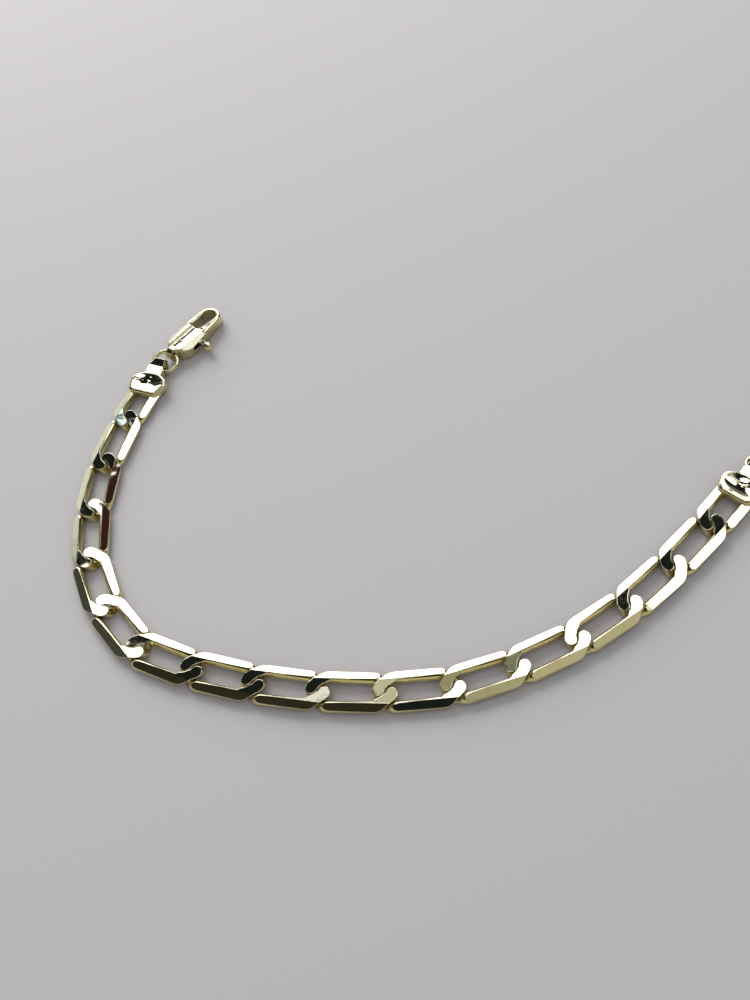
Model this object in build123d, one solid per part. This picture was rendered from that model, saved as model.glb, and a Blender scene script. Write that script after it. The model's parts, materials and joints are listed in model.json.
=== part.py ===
from build123d import *
import math
import os

# Link bracelet in pale gold, laid out open on a flat surface with its clasp unfastened.
# Elongated curb links with ground facets, a cast cap on the link at each end, a lobster
# clasp on a jump ring at one end and the plain ring that it hooks into at the other.
# Millimetres, +Z up. The first part of the file names the sizes, each a real length.

# Chain links
pitch = 9.0              # from one link to the next
link_width = 5.8         # over the two side bars
wire = 1.65              # diameter of the wire before the facets are ground
link_gap = 0.16          # play between the end bends of two neighbours
chain_height = 1.44      # between the flat caps, top and bottom
facet_width = 1.18       # from the link's outer edge to the crest of its facet
facet_slope = 20.0       # degrees that a side facet falls outwards
twist_rise = 1.0         # how far a link's end rises on one side and dips on the other
bar_lean = 0.10          # the same at the corner of a side bar
relief_gap = 0.06        # air round a link where its neighbour passes under it

# End caps
cap_width = 6.5
cap_length = 5.2         # from the front lip to the neck
cap_front = 0.8          # front lip, from the middle of the end link
cap_height = 1.95        # above the surface
cap_lip = 0.75           # thickness of the overhanging plate
cap_overhang = 0.35      # how far that plate stands out over its base
dish_depth = 0.42        # oval hollow in the middle of the cap
dish_length = 3.4
dish_width = 5.4
bail_length = 2.75
bail_width_neck = 2.9
bail_width_tip = 1.55
bail_height = 2.35
bail_wall = 0.60         # metal above the bail's slot and past its end
bail_sole = 0.36         # metal below the slot
lip_round = 0.45

# Rings
ring_wire = 0.7
ring_outer = 4.6
ring_play = 0.08         # between a ring and the bail that it hangs in
clasp_ring_tilt = 8.0    # degrees that the ring climbs from the bail to the clasp
clasp_ring_roll = 14.0   # and leans over to its right

# Clasp
clasp_length = 11.7      # from the middle of its eye to the tip of the hook
clasp_rear_width = 5.1
clasp_rear_reach = 0.10  # from the middle of the eye to the rear end of the body
clasp_head_width = 4.1
clasp_height = 2.5
clasp_head_height = 1.95
hook_wall = 0.88         # width of the hook's arm
hook_opening = 4.6       # length of the oval in the hook
low_edge_round = 0.4     # along the bottom of the clasp
top_edge_round = 0.45    # along its top
hole_edge_bevel = 0.22   # round the oval
crease_rear = 1.35       # half the width of the dished panel at its rear end
crease_front = 1.65      # and at the hook
crease_end = 6.1         # from the middle of the eye to the front end of the flanks
crease_slope = 25.0      # degrees that the flanks fall outside the creases
panel_depth = 0.30       # of the dish between the creases, where it meets the hook
panel_rim = 0.12         # flat strip between the dish and each crease
eye_width = 1.2
eye_outer = 2.35
eye_bore = 1.45
eye_drop = 0.08          # the eye hangs this much below the ring's wire
lever_thickness = 0.8
lever_side_gap = 0.05    # above and below the lever
lever_arm_width = 0.85
lever_boss = 2.0         # diameter round the pin
lever_tip_gap = 0.10
gate_low = 0.35          # from the bottom of the clasp to the bottom of the gate
lever_swing = 20.0       # degrees from closed to open
knob_diameter = 1.5
knob_length = 1.7
pin_diameter = 0.7
pin_rise = 0.2           # above the lever
pin_clearance = 0.05

# The route of the chain, chosen by hand from the way it lies: one row for each link, from
# the clasp end, with the compass of the link in degrees and its small roll to one side.
#           compass  roll
route = [
    (-111, 0.0),
    (-105, 0.8),
    (-94, -0.9),
    (-84, 1.0),
    (-67, -0.6),
    (-50, 0.7),
    (-24, -0.8),
    (-16, 0.9),
    (-10, -1.0),
    (-4, 0.4),
    (3, 1.0),
    (16, -0.7),
    (24, 0.8),
    (33, -0.5),
    (41, 0.9),
    (45, -0.8),
    (48, 0.0),
]
ring_turn = -14.0        # degrees that the jump ring swings off the first link's line
clasp_compass = 55.0     # way that the clasp points

# Worked out from the sizes above
wire_radius = wire / 2
bar_offset = (link_width - wire) / 2
end_reach = pitch / 2 + wire_radius + link_gap / 2
half_height = chain_height / 2
crest = link_width / 2 - facet_width
ring_mean = (ring_outer - ring_wire) / 2
last = len(route) - 1
neck_x = cap_front + cap_length
slot_rear = neck_x + 0.12 * bail_length
slot_front = neck_x + bail_length - bail_wall
slot_low = -half_height + bail_sole
slot_high = -half_height + bail_height - bail_wall
seat_x = slot_rear + ring_wire / 2 + ring_play

# Corners of the bent wire in a quarter of a link, as shares of the sizes that they follow:
# along by half the pitch, across by the bar's offset and up by the twist's rise.
bar_corner_along = 0.73
shoulder_along = 0.925
shoulder_across = 0.80
tip_across = 0.24
corner_radius_share = 1.25     # bend radii by the wire's radius
tip_radius_share = 1.06


def half_wire(radius):
    """Half a link's round wire, from mid bar round its forward end to the other mid bar."""
    corner_x = bar_corner_along * pitch / 2
    shoulder_x = shoulder_along * pitch / 2
    shoulder_y = shoulder_across * bar_offset
    tip_y = tip_across * bar_offset
    points = [
        (0, bar_offset, 0),
        (corner_x, bar_offset, -bar_lean),
        (shoulder_x, shoulder_y, -twist_rise),
        (end_reach, tip_y, -twist_rise),
        (end_reach, -tip_y, twist_rise),
        (shoulder_x, -shoulder_y, twist_rise),
        (corner_x, -bar_offset, bar_lean),
        (0, -bar_offset, 0),
    ]
    bend = corner_radius_share * wire_radius
    tip_bend = tip_radius_share * wire_radius
    path = FilletPolyline(*points, radius=[bend, bend, tip_bend, tip_bend, bend, bend])
    section = Plane(origin=path @ 0, z_dir=path % 0) * Circle(radius)
    return sweep(section, path=path)


def ground_prism():
    """The room that grinding leaves: flat caps top and bottom, and a facet along each side."""
    knife = crest + half_height / math.tan(math.radians(facet_slope))
    outline = Polyline(
        (-knife, 0),
        (-crest, half_height),
        (crest, half_height),
        (knife, 0),
        (crest, -half_height),
        (-crest, -half_height),
        close=True,
    )
    return extrude(Plane.YZ * make_face(outline), amount=pitch, both=True)


def quadrant(side):
    """Box over a link's forward right (side -1) or forward left (side 1) quarter."""
    corner = (Align.MIN, Align.MIN if side > 0 else Align.MAX, Align.CENTER)
    return Box(pitch, link_width, 4 * wire, align=corner)


def half_link():
    return half_wire(wire_radius) & ground_prism()


def passing_room():
    """The raised quarter of a link's wire, grown by the gap, which its neighbour clears."""
    return half_wire(wire_radius + relief_gap) & quadrant(-1)


def link_places():
    """Place of each link: its middle, its compass and its roll."""
    places = []
    x, y = 0.0, 0.0
    for compass, roll in route:
        turn = math.radians(compass)
        step_x, step_y = pitch * math.cos(turn), pitch * math.sin(turn)
        middle = (x + step_x / 2, y + step_y / 2, half_height)
        places.append(Location(middle, (0, 0, compass)) * Rotation(roll, 0, 0))
        x, y = x + step_x, y + step_y
    return places


def hull_of(*disks):
    """Outline stretched round a few disks, each given as x, y and radius."""
    edges = [edge for x, y, radius in disks for edge in (Pos(x, y) * Circle(radius)).edges()]
    return make_hull(edges)


def cap_outline(inset):
    """Plan of the cap: a straight front lip and two round lobes that draw in to the neck."""
    corner = 0.16 * cap_width
    corner_y = 0.27 * cap_width
    lobe = 0.22 * cap_width
    lobe_x = cap_front + 0.5 * cap_length
    lobe_y = cap_width / 2 - lobe
    root = 0.4 * bail_width_neck
    return hull_of(
        (cap_front + corner, corner_y, corner - inset),
        (cap_front + corner, -corner_y, corner - inset),
        (lobe_x, lobe_y, lobe - inset),
        (lobe_x, -lobe_y, lobe - inset),
        (neck_x - root, 0, root - inset),
    )


def bail():
    """The loop on the cap's neck: a tapered bar with a slot through it from side to side."""
    tip = neck_x + bail_length
    root = neck_x - 0.45 * cap_length
    floor = -half_height
    top = floor + bail_height
    low = floor + 0.78 * cap_height
    side = make_face(
        Polyline(
            (root, floor),
            (root, low - 0.3 * dish_depth),
            (neck_x + 0.2 * bail_length, top),
            (tip - 0.2 * bail_length, top - 0.02 * bail_height),
            (tip, floor + 0.55 * bail_height),
            (tip - 0.06 * bail_length, floor + 0.1 * bail_height),
            (tip - 0.25 * bail_length, floor),
            close=True,
        )
    )
    block = extrude(Plane.XZ * side, amount=cap_width, both=True)
    plan = make_face(
        Polyline(
            (root, bail_width_neck / 2),
            (neck_x, bail_width_neck / 2),
            (tip, bail_width_tip / 2),
            (tip, -bail_width_tip / 2),
            (neck_x, -bail_width_neck / 2),
            (root, -bail_width_neck / 2),
            close=True,
        )
    )
    return block & extrude(Plane.XY.offset(floor) * plan, amount=bail_height)


def bail_slot():
    """The slot for the ring, cut right through the bail and clear of the cap's lobes."""
    height = slot_high - slot_low
    slot = RectangleRounded(slot_front - slot_rear, height, 0.42 * height)
    middle = ((slot_rear + slot_front) / 2, 0, (slot_low + slot_high) / 2)
    side = Plane(origin=middle, z_dir=(0, 1, 0), x_dir=(1, 0, 0))
    return extrude(side * slot, amount=cap_width, both=True)


def end_cap():
    """Cast cap with its lip, dished top, neck and bail, in the end link's own frame."""
    floor = -half_height
    top = floor + cap_height
    plate = extrude(Plane.XY.offset(top - cap_lip) * cap_outline(0), amount=cap_lip)
    plate = fillet(plate.edges().group_by(Axis.Z)[-1], lip_round)
    base = extrude(Plane.XY.offset(floor) * cap_outline(cap_overhang), amount=cap_height - cap_lip)
    half = dish_length / 2
    radius = (half**2 + dish_depth**2) / (2 * dish_depth)
    dish = scale(Sphere(radius), by=(1, dish_width / dish_length, 1))
    dish = Pos(cap_front + 0.48 * cap_length, 0, top + radius - dish_depth) * dish
    return (plate + base - dish + bail()) - bail_slot()


def end_link():
    """The end link: two bars that run from the chain into the cap, soldered into one piece."""
    loop = half_link()
    stub = cap_front + 0.35 * cap_length
    bars = loop & Box(stub, 2 * link_width, 4 * wire, align=(Align.MIN, Align.CENTER, Align.CENTER))
    return Rotation(0, 0, 180) * loop + bars + end_cap()


def ring():
    return Torus(ring_mean, ring_wire / 2)


def ring_place(end_place, seat_z, turn, tilt, roll):
    """Where a ring hangs in a bail: one side in the slot, the rest swung out from there."""
    swing = Rotation(0, 0, turn) * Rotation(0, -tilt, 0) * Rotation(roll, 0, 0)
    return end_place * Pos(seat_x, 0, seat_z) * swing * Pos(ring_mean, 0, 0)


# The clasp in its own frame: +X from its eye to the tip of the hook, +Y on the gate's side
head_radius = clasp_head_width / 2
head_x = clasp_length - head_radius
rear_radius = clasp_rear_width / 2
rear_x = clasp_rear_reach + rear_radius
hole_radius = head_radius - hook_wall
hole_rear = clasp_length - hook_wall - hook_opening
pivot = (rear_x + 0.83 * rear_radius, 0.09 * rear_radius)
gate_line = head_radius - 0.55 * hook_wall
gate_tip_x = head_x - 0.36 * head_radius
gate_root_x = hole_rear + 1.5 * lever_tip_gap
head_fall = math.degrees(math.atan2(clasp_height - clasp_head_height, clasp_length - clasp_rear_reach))
tip_radius = math.hypot(gate_tip_x - pivot[0], gate_line - pivot[1])
knob_place = (pivot[0] - 0.3 * knob_diameter, -(rear_radius + 0.9 * knob_length))
lever_low = 0.34 * clasp_height
pin_low = 0.06 * clasp_height
pin_high = lever_low + lever_thickness + pin_rise
clasp_seat_z = slot_low + 0.44 * (slot_high - slot_low)
eye_z = half_height + clasp_seat_z + 2 * ring_mean * math.sin(math.radians(clasp_ring_tilt)) - eye_drop


def hook_hole():
    """Plan of the oval in the hook."""
    return hull_of(
        (hole_rear + 0.85 * hole_radius, 0.12 * hole_radius, 0.85 * hole_radius),
        (head_x, 0, hole_radius),
    )


def hole_bevel():
    """Bevel round the top of the oval, cut square to the sloping top."""
    plan = hook_hole()
    grown = offset(plan, amount=2 * hole_edge_bevel)
    flare = loft([Pos(0, 0, hole_edge_bevel) * grown, Pos(0, 0, -hole_edge_bevel) * plan])
    return Pos(0, 0, clasp_height) * Rotation(0, head_fall, 0) * flare


def gate_gap():
    """Plan of the stretch of the hook that the lever closes."""
    strip = Pos((gate_root_x + head_x) / 2, head_radius) * Rectangle(head_x - gate_root_x, 2 * gate_line)
    return strip & Pos(*pivot) * Circle(tip_radius + lever_tip_gap)


def gate_plan():
    """Plan of the lever's gate, which fills the gap in the hook."""
    start = gate_root_x + lever_tip_gap
    side = gate_line - lever_arm_width / 2
    strip = Pos(start, side) * Rectangle(head_x - start, head_radius, align=(Align.MIN, Align.MIN))
    return strip & Pos(*pivot) * Circle(tip_radius)


def lever_plan():
    """Boss round the pin, gate arm up to the hook's tip and thumb arm out to the knob."""
    arm = lever_arm_width / 2
    root_x = pivot[0] + 0.42 * (gate_tip_x - pivot[0])
    boss = Pos(*pivot) * Circle(lever_boss / 2)
    elbow = hull_of((*pivot, arm), (root_x, gate_line, arm))
    gate = hull_of((root_x, gate_line, arm), (gate_tip_x + lever_arm_width, gate_line, arm))
    thumb = hull_of((*pivot, arm), (*knob_place, arm))
    return boss + elbow + (gate & Pos(*pivot) * Circle(tip_radius)) + thumb


def swept_room():
    """Plan of all that the lever sweeps from closed to open, with air round it."""
    steps = 4
    room = offset(lever_plan(), amount=2 * lever_tip_gap)
    for step in range(1, steps + 1):
        turn = Pos(*pivot) * Rotation(0, 0, -lever_swing * step / steps) * Pos(-pivot[0], -pivot[1])
        room = room + turn * offset(lever_plan(), amount=2 * lever_tip_gap)
    return room


def flank(side):
    """Wedge over one flank of the clasp, which its fall from the crease leaves bare."""
    start = (0, side * crease_rear)
    end = (crease_end, side * crease_front)
    lead = math.degrees(math.atan2(end[1] - start[1], end[0] - start[0]))
    fall = math.tan(math.radians(head_fall)) * crease_end
    face_up = Pos(end[0], end[1], clasp_height - fall) * Rotation(0, head_fall, 0) * Rotation(0, 0, lead)
    tipped = face_up * Rotation(-side * crease_slope, 0, 0)
    align = (Align.MAX, Align.MIN if side > 0 else Align.MAX, Align.MIN)
    return tipped * Box(2 * clasp_length, clasp_rear_width, clasp_height, align=align)


def panel():
    """Round bar that hollows the top between the creases, tipped so that it widens forwards."""
    wide = crease_front - panel_rim
    narrow = crease_rear - panel_rim
    radius = (wide**2 + panel_depth**2) / (2 * panel_depth)
    rear_depth = radius - math.sqrt(radius**2 - narrow**2)
    tip = math.degrees(math.atan2(panel_depth - rear_depth, crease_end)) + head_fall
    height = clasp_height - panel_depth + radius - math.tan(math.radians(head_fall)) * crease_end
    bar = Rotation(0, 90, 0) * Cylinder(radius, 2 * crease_end)
    front = hole_rear + 0.5 * hole_radius
    return Pos(crease_end, 0, height) * Rotation(0, tip, 0) * Pos(front - 2 * crease_end, 0, 0) * bar


def clasp_block():
    """The clasp before it is pierced: a long oval that thins towards the hook."""
    plan = hull_of((rear_x, 0, rear_radius), (head_x, 0, head_radius))
    block = extrude(plan, amount=clasp_height)
    waste = Box(2 * clasp_length, 2 * clasp_head_width, clasp_height,
                align=(Align.MIN, Align.CENTER, Align.MIN))
    block = block - Pos(0, 0, clasp_height) * Rotation(0, head_fall, 0) * waste
    block = fillet(block.edges().group_by(Axis.Z)[0], low_edge_round)
    block = fillet(block.faces().sort_by(Axis.Z)[-1].edges(), top_edge_round)
    return block - flank(1) - flank(-1) - panel()


def clasp_eye():
    """Loop on edge behind the body, bored from side to side for the jump ring."""
    across = Plane(origin=(0, 0, eye_z), x_dir=(1, 0, 0), z_dir=(0, 1, 0))
    disk = extrude(across * Circle(eye_outer / 2), amount=eye_width / 2, both=True)
    root = Pos(rear_x / 2, 0, eye_z) * Box(rear_x, eye_width, 0.62 * eye_outer)
    bore = extrude(across * Circle(eye_bore / 2), amount=eye_width, both=True)
    return disk + root, bore


def clasp_body():
    """Body and hook in one casting, with the slot, the oval and the gap for the lever."""
    loop, bore = clasp_eye()
    oval = extrude(hook_hole(), amount=clasp_height)
    gap = extrude(gate_gap(), amount=clasp_height)
    slot_height = lever_thickness + 2 * lever_side_gap
    slot = extrude(Plane.XY.offset(lever_low - lever_side_gap) * swept_room(), amount=slot_height)
    pin_hole = Pos(*pivot, pin_low) * Cylinder(
        pin_diameter / 2 + pin_clearance / 2, pin_high - pin_low + pin_clearance,
        align=(Align.CENTER, Align.CENTER, Align.MIN))
    mouth = Pos(*pivot, 0) * Cylinder(
        pin_diameter / 2 + pin_clearance / 2, pin_low, align=(Align.CENTER, Align.CENTER, Align.MIN))
    return clasp_block() + loop - bore - oval - hole_bevel() - gap - slot - pin_hole - mouth


def clasp_lever():
    """Flat lever with a round knob at its thumb end and a gate as high as the hook."""
    plate = extrude(Plane.XY.offset(lever_low) * lever_plan(), amount=lever_thickness)
    gate = clasp_block() & extrude(Plane.XY.offset(gate_low) * gate_plan(), amount=clasp_height)
    knob = scale(Sphere(knob_diameter / 2), by=(1, knob_length / knob_diameter, 1))
    knob = Pos(*knob_place, lever_low + lever_thickness / 2) * knob
    hole = Pos(*pivot, lever_low) * Cylinder(
        pin_diameter / 2 + pin_clearance, lever_thickness, align=(Align.CENTER, Align.CENTER, Align.MIN))
    return plate + gate + knob - hole


def clasp_pin():
    return Pos(*pivot, pin_low) * Cylinder(
        pin_diameter / 2, pin_high - pin_low, align=(Align.CENTER, Align.CENTER, Align.MIN))


def chain_links(places):
    """The whole links between the two end links, each eased where a neighbour passes over it."""
    links = {}
    front_half = half_link()
    back_half = Rotation(0, 0, 180) * front_half
    front_room = passing_room()
    back_room = Rotation(0, 0, 180) * front_room
    for i in range(1, last):
        ahead = places[i].inverse() * places[i + 1] * back_room
        behind = places[i].inverse() * places[i - 1] * front_room
        link = (front_half - ahead) + (back_half - behind)
        links[f"link_{i + 1:02d}"] = places[i] * link
    return links


def make_parts():
    """Every piece by its name, in the layout's own frame."""
    places = link_places()
    parts = chain_links(places)
    back_room = Rotation(0, 0, 180) * passing_room()

    # The end link at the clasp leads backwards, so its own frame is turned half round
    first_place = places[0] * Rotation(0, 0, 180)
    last_place = places[last]
    plain_end = end_link()
    parts["end_link_clasp"] = first_place * (
        plain_end - first_place.inverse() * places[1] * back_room)
    parts["end_link_ring"] = last_place * (
        plain_end - last_place.inverse() * places[last - 1] * passing_room())

    jump_place = ring_place(first_place, clasp_seat_z, ring_turn, clasp_ring_tilt, clasp_ring_roll)
    parts["jump_ring"] = jump_place * ring()

    # The free ring lies on the sole of its bail and leans down until it meets the surface
    end_seat_z = slot_low + ring_wire / 2 + ring_play
    lean = math.degrees(math.asin((bail_sole + ring_play) / (2 * ring_mean)))
    parts["end_ring"] = ring_place(last_place, end_seat_z, 0, -lean, 0) * ring()

    # The clasp hangs by its eye from the far side of the jump ring and lies on the surface
    hold = (jump_place * Pos(ring_mean, 0, 0)).position
    clasp_place = Location((hold.X, hold.Y, 0), (0, 0, clasp_compass))
    parts["clasp_body"] = clasp_place * clasp_body()
    parts["clasp_lever"] = clasp_place * clasp_lever()
    parts["clasp_pin"] = clasp_place * clasp_pin()

    # The origin is under the middle of the whole bracelet, on the surface that it lies on
    box = Compound(children=[Compound(shape.wrapped) for shape in parts.values()]).bounding_box()
    middle = box.center()
    shift = Pos(-middle.X, -middle.Y, -box.min.Z)
    return {name: shift * shape for name, shape in parts.items()}


os.makedirs("parts", exist_ok=True)
for name, shape in make_parts().items():
    export_step(shape, f"parts/{name}.step")
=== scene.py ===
import json
import math

import bpy
from mathutils import Matrix, Vector

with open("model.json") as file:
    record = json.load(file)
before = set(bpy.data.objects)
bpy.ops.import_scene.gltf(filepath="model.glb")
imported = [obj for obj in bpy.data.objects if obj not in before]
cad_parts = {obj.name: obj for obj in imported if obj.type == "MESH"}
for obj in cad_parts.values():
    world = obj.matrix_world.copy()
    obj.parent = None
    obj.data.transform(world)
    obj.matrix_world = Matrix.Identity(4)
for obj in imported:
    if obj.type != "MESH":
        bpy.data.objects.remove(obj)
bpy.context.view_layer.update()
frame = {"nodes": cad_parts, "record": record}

# Camera, fitted to the link joints: metres and degrees in the frame of the part,
# and millimetres for the lens
CAMERA_PLACE = (0.00618, -0.09430, 0.12788)
CAMERA_HEADING = -7.90     # off +Y, clockwise from above
CAMERA_DIP = 54.37         # below level
CAMERA_ROLL = -9.73
CAMERA_SENSOR = 24.0       # height of the frame
CAMERA_LENS = 25.06
CAMERA_NEAR = 0.002        # nothing closer is drawn


class Nodes:
    """Adds shader nodes to one tree and links them."""

    def __init__(self, tree):
        self.tree = tree
        self.tree.nodes.clear()

    def add(self, kind, *inputs, **settings):
        node = self.tree.nodes.new(kind)
        for name, value in settings.items():
            setattr(node, name, value)
        for place, value in enumerate(inputs):
            self.put(node.inputs[place], value)
        return node

    def put(self, socket, value):
        if value is None:
            return
        if isinstance(value, bpy.types.NodeSocket):
            self.tree.links.new(value, socket)
        else:
            socket.default_value = value

    def math(self, operation, *inputs):
        return self.add("ShaderNodeMath", *inputs, operation=operation).outputs[0]

    def dot(self, first, second):
        return self.add("ShaderNodeVectorMath", first, second, operation="DOT_PRODUCT").outputs["Value"]

    def ramp(self, value, low, high, start=0.0, end=1.0, smooth=True):
        node = self.add("ShaderNodeMapRange", value, low, high, start, end)
        node.interpolation_type = "SMOOTHSTEP" if smooth else "LINEAR"
        return node.outputs[0]

    def mix(self, share, first, second):
        node = self.add("ShaderNodeMix", data_type="RGBA")
        self.put(node.inputs[0], share)
        self.put(node.inputs[6], first)
        self.put(node.inputs[7], second)
        return node.outputs[2]

    def noise(self, place, scale, detail):
        return self.add("ShaderNodeTexNoise", place, None, scale, detail).outputs["Fac"]


def new_material(name):
    material = bpy.data.materials.new(name)
    material.use_nodes = True
    return material, Nodes(material.node_tree)


# Polished gold: lengths in metres, noise scales in grains per metre
EDGE_ROUND = 0.00014       # the polish has broken every edge
RIPPLE_HEIGHT = 0.0002     # at full strength, which no finish reaches
WALL_UPRIGHT = 0.80        # upward share of the normal at which a rounded wall ends
FACE_UPRIGHT = 0.92        # upward share of the normal from which a face counts as ground flat
CLOUD_SCALE = 900.0        # soft clouds of deeper tint
CLOUD_SPAN = (0.35, 0.65)  # stretch of the noise over which a cloud comes up
CLOUD_MOST = 0.12          # share of the tint in the middle of a cloud
CLOUD_TINT = (0.62, 0.56, 0.30, 1.0)
GRAIN_SCALE = 14000.0      # fine polishing grain in the roughness
GRAIN_SPAN = (0.45, 0.75)
GRAIN_MOST = 0.03          # roughness that the grain adds at most


def gold(name, face_colour, wall_shade_colour, face_rough, wall_rough, wave, wave_size):
    """Polished pale gold: the ground faces are mirrors, the rounds between them painted a deeper gold as
    painted shade.
    """
    material, nodes = new_material(name)
    place = nodes.add("ShaderNodeTexCoord").outputs["Object"]
    normal = nodes.add("ShaderNodeNewGeometry").outputs["True Normal"]
    upright = nodes.math("ABSOLUTE", nodes.add("ShaderNodeSeparateXYZ", normal).outputs[2])
    face = nodes.ramp(upright, WALL_UPRIGHT, FACE_UPRIGHT)
    cloud = nodes.ramp(nodes.noise(place, CLOUD_SCALE, detail=3.0), *CLOUD_SPAN, 0.0, CLOUD_MOST)
    grain = nodes.ramp(nodes.noise(place, GRAIN_SCALE, detail=2.0), *GRAIN_SPAN, 0.0, GRAIN_MOST)
    # Painted shade: walls picked by their sideways normal get a deeper gold than the up-facing faces
    colour = nodes.mix(face, wall_shade_colour, face_colour)
    tint = nodes.mix(cloud, colour, CLOUD_TINT)
    polish = nodes.ramp(face, 0.0, 1.0, wall_rough, face_rough, smooth=False)
    rough = nodes.math("ADD", polish, grain)
    ripple = nodes.noise(place, 1.0 / wave_size, detail=1.0)
    rounded = nodes.add("ShaderNodeBevel", EDGE_ROUND, samples=6)
    bump = nodes.add("ShaderNodeBump")
    nodes.put(bump.inputs["Height"], ripple)
    nodes.put(bump.inputs["Normal"], rounded.outputs[0])
    bump.inputs["Strength"].default_value = wave
    bump.inputs["Distance"].default_value = RIPPLE_HEIGHT
    shader = nodes.add("ShaderNodeBsdfPrincipled")
    nodes.put(shader.inputs["Base Color"], tint)
    nodes.put(shader.inputs["Roughness"], rough)
    nodes.put(shader.inputs["Normal"], bump.outputs[0])
    shader.inputs["Metallic"].default_value = 1.0
    nodes.add("ShaderNodeOutputMaterial", shader.outputs[0])
    return material


PALE = (0.90, 0.87, 0.68, 1.0)
PALE_CAST = (0.88, 0.85, 0.66, 1.0)
PALE_WIRE = (0.84, 0.78, 0.52, 1.0)
# Deeper tints for the rounded walls: painted shade on the same gold as the faces
DEEP_WALL_SHADE = (0.76, 0.67, 0.38, 1.0)
DEEP_WIRE_SHADE = (0.80, 0.72, 0.44, 1.0)
FINISHES = {
    "gold": gold("cut_gold", PALE, DEEP_WALL_SHADE, face_rough=0.02, wall_rough=0.16, wave=0.12, wave_size=0.0030),
    "gold_cast": gold("cast_gold", PALE_CAST, DEEP_WALL_SHADE,
                      face_rough=0.10, wall_rough=0.18, wave=0.15, wave_size=0.0022),
    "gold_wire": gold("wire_gold", PALE_WIRE, DEEP_WIRE_SHADE,
                      face_rough=0.08, wall_rough=0.12, wave=0.10, wave_size=0.0015),
}
slots = {part["node"]: part["material_slot"] for part in frame["record"]["subparts"]}
for name, piece in frame["nodes"].items():
    piece.data.materials.clear()
    piece.data.materials.append(FINISHES[slots[name]])


FLOOR_SIZE = 8.0
FLOOR_COLOUR = (0.40, 0.39, 0.40, 1.0)
FLOOR_ROUGH = 0.75


def floor():
    """The plain surface under the bracelet."""
    bpy.ops.mesh.primitive_plane_add(size=FLOOR_SIZE)
    plane = bpy.context.object
    plane.name = "floor"
    material, nodes = new_material("floor_cloth")
    shader = nodes.add("ShaderNodeBsdfPrincipled")
    shader.inputs["Base Color"].default_value = FLOOR_COLOUR
    shader.inputs["Roughness"].default_value = FLOOR_ROUGH
    nodes.add("ShaderNodeOutputMaterial", shader.outputs[0])
    plane.data.materials.append(material)


ROOM_LIGHT = (0.70, 0.69, 0.70, 1.0)      # even light from all sides, for the floor
ROOM_LOW = (0.30, 0.28, 0.24, 1.0)        # what the metal mirrors at floor level
ROOM_HIGH = (0.010, 0.013, 0.012, 1.0)    # and from this height up, where no card is
ROOM_HIGH_FROM = 30.0
WHITE = (2.6, 2.6, 2.55)

# What the polished faces see: compass and height of the middle of each soft light or dark
# card in degrees, its half width and half height, how soft its edge is, and its colour.
# A card lies over the ones before it.
ROOM = [
    # Low on the far side: the long window, and the pale and dark walls beside it
    (98, 18, 27, 21, 1.5, WHITE),
    (83.5, 43, 10, 8, 1.5, WHITE),
    (138, 16, 13, 13, 5, (0.72, 0.74, 0.70)),
    (165, 36, 14, 10, 6, (0.055, 0.058, 0.048)),
    (125, 30, 11, 11, 2, (0.045, 0.055, 0.060)),
    # Over the flats of the links, one after the other from the clasp's end
    (112.8, 45.2, 2.5, 1.7, 0.3, (1.5, 1.7, 1.75)),
    (115.7, 46.5, 1.3, 0.75, 0.2, (1.0, 1.2, 1.5)),
    (124, 49.3, 1.6, 0.9, 0.3, (1.5, 1.7, 1.75)),
    (124.5, 53.4, 4, 2, 0.3, WHITE),
    (127, 56.9, 2.2, 1.7, 0.4, WHITE),
    (106.2, 61.6, 3.9, 1.4, 0.5, (0.83, 0.86, 0.87)),
    (100.3, 66.3, 3.6, 2, 0.6, (0.54, 0.53, 0.42)),
    (92.5, 63.2, 3.6, 1.3, 0.5, (0.32, 0.30, 0.19)),
    (92.5, 67.4, 4, 1.3, 0.5, WHITE),
    (86, 62.9, 3, 1.2, 0.4, WHITE),
    (82, 64.9, 2.6, 0.9, 0.3, (0.21, 0.216, 0.166)),
    (75.5, 63.6, 2.6, 1.8, 0.4, WHITE),
    (76.5, 60.4, 4.5, 1.9, 0.3, WHITE),
    (63, 59, 6, 2.4, 0.3, WHITE),
    (65.8, 51, 2.6, 2.1, 0.25, WHITE),
    (40, 48, 12, 8, 2, WHITE),
    # Cream over the clasp, and red on the inner facets of two links
    (84, 53.5, 8, 2.5, 0.6, (0.62, 0.60, 0.47)),
    (61.9, 53.2, 2.5, 1.6, 0.4, (0.036, 0.013, 0.012)),
    (71, 51, 2.2, 2, 0.4, (0.036, 0.013, 0.012)),
    # High up, for the caps and their bails
    (33, 67, 25, 6, 2, (0.60, 0.62, 0.58)),
    (34, 60, 14, 6, 1.5, (1.0, 1.05, 1.05)),
    (120, 80, 60, 6, 2, WHITE),
    (159.2, 60.6, 2.5, 1.6, 0.5, WHITE),
    # Round the near side, for the near facets and the walls
    (-30, 63, 38, 13, 6, (0.47, 0.435, 0.296)),
    (14, 45, 15, 9.5, 2, (2.2, 2.4, 2.4)),
    (-90, 14, 75, 15, 8, (0.55, 0.52, 0.38)),
    (-140, 62, 40, 14, 8, (0.027, 0.025, 0.016)),
]


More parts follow.
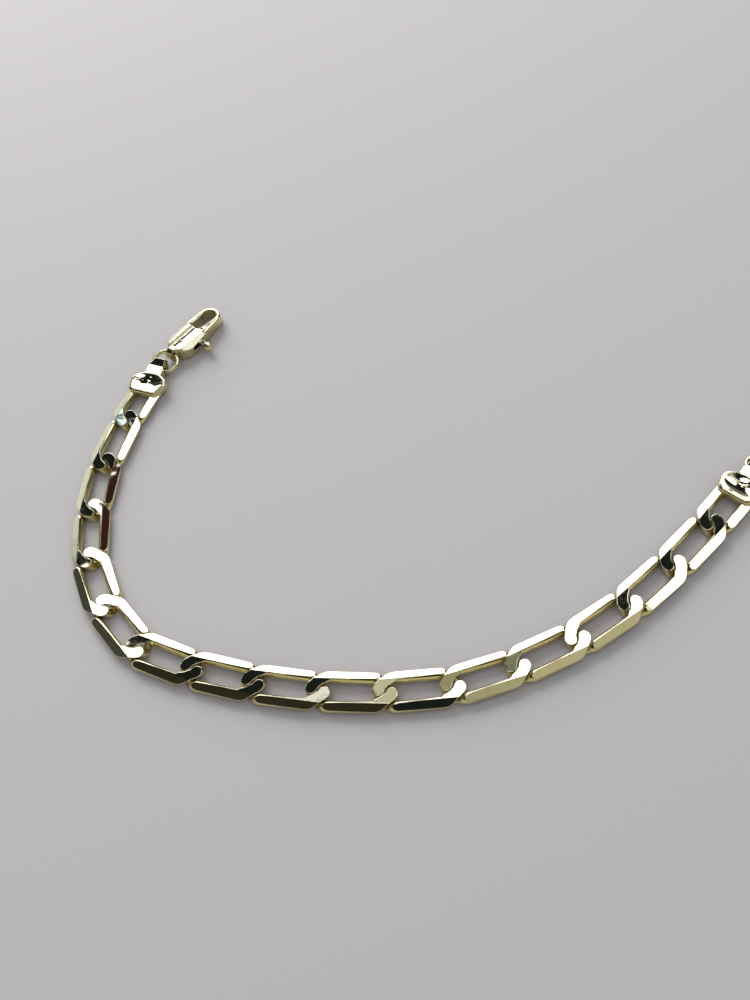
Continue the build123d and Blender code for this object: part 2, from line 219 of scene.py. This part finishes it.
def room_light():
    """Soft even light for the floor, and the lights and cards that the metal reflects."""
    world = bpy.data.worlds.new("studio")
    bpy.context.scene.world = world
    world.use_nodes = True
    nodes = Nodes(world.node_tree)
    way = nodes.add("ShaderNodeTexCoord").outputs["Generated"]
    upward = nodes.add("ShaderNodeSeparateXYZ", way).outputs[2]
    height = nodes.math("DEGREES", nodes.math("ARCSINE", upward))
    seen = nodes.mix(nodes.ramp(height, 0.0, ROOM_HIGH_FROM), ROOM_LOW, ROOM_HIGH)
    for compass, tall, half_wide, half_tall, soft, colour in ROOM:
        turn = math.radians(compass)
        ahead = nodes.dot(way, (math.cos(turn), math.sin(turn), 0.0))
        aside = nodes.dot(way, (math.sin(turn), -math.cos(turn), 0.0))
        off = nodes.math("ABSOLUTE", nodes.math("DEGREES", nodes.math("ARCTAN2", aside, ahead)))
        across = nodes.ramp(off, half_wide - soft, half_wide + soft, 1.0, 0.0)
        rise = nodes.math("ABSOLUTE", nodes.math("SUBTRACT", height, tall))
        along = nodes.ramp(rise, half_tall - soft, half_tall + soft, 1.0, 0.0)
        share = nodes.math("MULTIPLY", across, along)
        seen = nodes.mix(share, seen, (*colour, 1.0))
    glossy = nodes.add("ShaderNodeLightPath").outputs["Is Glossy Ray"]
    light = nodes.mix(glossy, ROOM_LIGHT, seen)
    shade = nodes.add("ShaderNodeBackground", light, 1.0)
    nodes.add("ShaderNodeOutputWorld", shade.outputs[0])


def soft_light(name, place, size, watts, colour):
    """A square softbox that faces the middle of the bracelet, unseen in the metal."""
    data = bpy.data.lights.new(name, "AREA")
    data.size = size
    data.energy = watts
    data.color = colour
    light = bpy.data.objects.new(name, data)
    bpy.context.collection.objects.link(light)
    light.location = place
    light.rotation_euler = Vector(place).to_track_quat("Z", "Y").to_euler()
    light.visible_glossy = False


def camera():
    """The camera at the photograph's angle, made from its heading, dip and roll."""
    heading = math.radians(CAMERA_HEADING)
    dip = math.radians(CAMERA_DIP)
    roll = math.radians(CAMERA_ROLL)
    ahead = Vector((math.sin(heading) * math.cos(dip), math.cos(heading) * math.cos(dip), -math.sin(dip)))
    level = Vector((math.cos(heading), -math.sin(heading), 0.0))
    above = level.cross(ahead)
    right = math.cos(roll) * level + math.sin(roll) * above
    up = math.cos(roll) * above - math.sin(roll) * level
    data = bpy.data.cameras.new("camera")
    data.sensor_fit = "VERTICAL"
    data.sensor_height = CAMERA_SENSOR
    data.lens = CAMERA_LENS
    data.clip_start = CAMERA_NEAR
    rig = bpy.data.objects.new("camera", data)
    bpy.context.collection.objects.link(rig)
    place = Matrix((right, up, -ahead)).transposed().to_4x4()
    place.translation = Vector(CAMERA_PLACE)
    rig.matrix_world = place
    bpy.context.scene.camera = rig


floor()
room_light()
soft_light("key", place=(-0.30, 0.56, 0.32), size=0.50, watts=7.5, colour=(1.0, 0.985, 0.97))
camera()
bpy.context.scene.view_settings.view_transform = "Standard"
